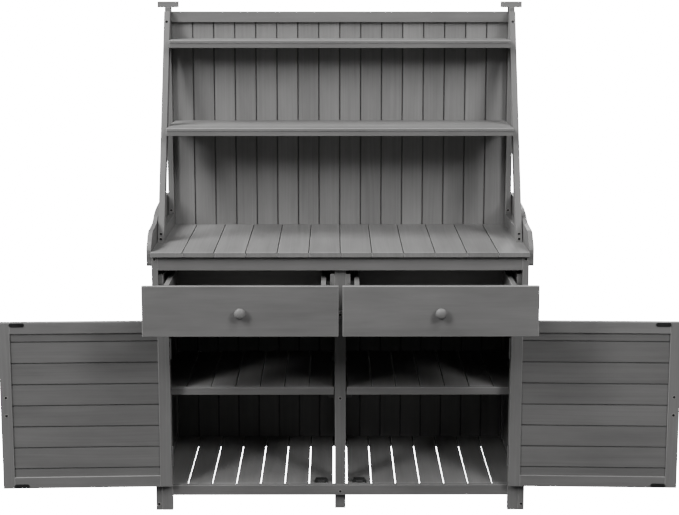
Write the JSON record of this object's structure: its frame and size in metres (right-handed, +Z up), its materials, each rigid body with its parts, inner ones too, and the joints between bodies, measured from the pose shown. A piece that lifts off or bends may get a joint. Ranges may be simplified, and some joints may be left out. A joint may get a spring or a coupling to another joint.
{
  "type": "potting bench",
  "caption": "Stained timber potting bench with a boarded hutch, two raking shelf braces, drawers on slides and hinged cupboard doors over slatted shelves.",
  "frame": {"origin": "on the floor under the middle of the whole object as it stands, doors and drawers open", "axes": "+X to the right as seen from the front, +Y from front to back, +Z up"},
  "size_m": [2.171, 0.746, 1.637],
  "materials": {
    "stained_frame": "matt",
    "stained_boards": "matt",
    "stained_matchboard": "matt",
    "thin_panel": "matt",
    "black_steel": "satin",
    "zinc_steel": "satin",
    "black_plate": "satin",
    "black_plastic": "matt",
    "magnet_steel": "satin"
  },
  "bodies": {
    "bench": {"back_battens": "stained_frame", "bottom_front_rail": "stained_frame", "bottom_ledgers": "stained_frame", "bottom_slats": "stained_boards", "cabinet_back_boards": "stained_matchboard", "catch_battens": "stained_frame", "catch_housings": "black_plastic", "catch_magnets": "magnet_steel", "centre_posts": "stained_frame", "drawer_rail": "stained_frame", "drawer_runners": "stained_frame", "frame_hinge_leaves": "zinc_steel", "frame_screws": "black_steel", "front_apron": "stained_frame", "front_posts": "stained_frame", "front_stiles": "stained_frame", "hinge_pins": "zinc_steel", "hutch_back_boards": "stained_matchboard", "hutch_braces": "stained_frame", "hutch_foot_rails": "stained_frame", "hutch_rails": "stained_frame", "hutch_shelf_bearers": "stained_frame", "hutch_shelf_boards": "stained_boards", "middle_shelf_rails": "stained_frame", "middle_slats": "stained_boards", "post_caps": "stained_frame", "rear_posts": "stained_frame", "shelf_bearers": "stained_frame", "side_boards": "stained_matchboard", "side_guards": "stained_frame", "side_rails": "stained_frame", "slide_outer_members": "zinc_steel", "worktop_battens": "stained_frame", "worktop_boards": "stained_boards"},
    "left_drawer": {"left_drawer_bottom": "thin_panel", "left_drawer_box": "stained_frame", "left_drawer_front": "stained_frame", "left_drawer_knob": "stained_frame", "left_drawer_screws": "black_steel", "left_slide_inner": "zinc_steel"},
    "right_drawer": {"right_drawer_bottom": "thin_panel", "right_drawer_box": "stained_frame", "right_drawer_front": "stained_frame", "right_drawer_knob": "stained_frame", "right_drawer_screws": "black_steel", "right_slide_inner": "zinc_steel"},
    "left_slides": {"left_slide_middle": "zinc_steel"},
    "right_slides": {"right_slide_middle": "zinc_steel"},
    "left_door": {"left_door_boards": "stained_matchboard", "left_door_frame": "stained_frame", "left_door_handle": "black_plate", "left_door_hinge_leaves": "zinc_steel", "left_door_screws": "black_steel", "left_door_strike_plates": "black_plate"},
    "right_door": {"right_door_boards": "stained_matchboard", "right_door_frame": "stained_frame", "right_door_handle": "black_plate", "right_door_hinge_leaves": "zinc_steel", "right_door_screws": "black_steel", "right_door_strike_plates": "black_plate"}
  },
  "joints": [
    {"name": "left_drawer_slide", "type": "slide", "parent": "bench", "child": "left_drawer", "axis": [0, -1, 0], "range_m": [-0.219, 0.121]},
    {"name": "left_slide_travel", "type": "slide", "parent": "bench", "child": "left_slides", "axis": [0, -1, 0], "range_m": [-0.1095, 0.0605]},
    {"name": "left_door_hinge", "type": "hinge", "parent": "bench", "child": "left_door", "pos_m": [-0.544, -0.116, 0.36], "axis": [0, 0, 1], "range_deg": [-2, 177.9]},
    {"name": "right_drawer_slide", "type": "slide", "parent": "bench", "child": "right_drawer", "axis": [0, -1, 0], "range_m": [-0.219, 0.121]},
    {"name": "right_slide_travel", "type": "slide", "parent": "bench", "child": "right_slides", "axis": [0, -1, 0], "range_m": [-0.1095, 0.0605]},
    {"name": "right_door_hinge", "type": "hinge", "parent": "bench", "child": "right_door", "pos_m": [0.544, -0.116, 0.36], "axis": [0, 0, 1], "range_deg": [-177.9, 2]}
  ],
  "couplings": [
    {"joint": "left_slide_travel", "follows": "left_drawer_slide", "ratio": 0.5},
    {"joint": "right_slide_travel", "follows": "right_drawer_slide", "ratio": 0.5}
  ]
}
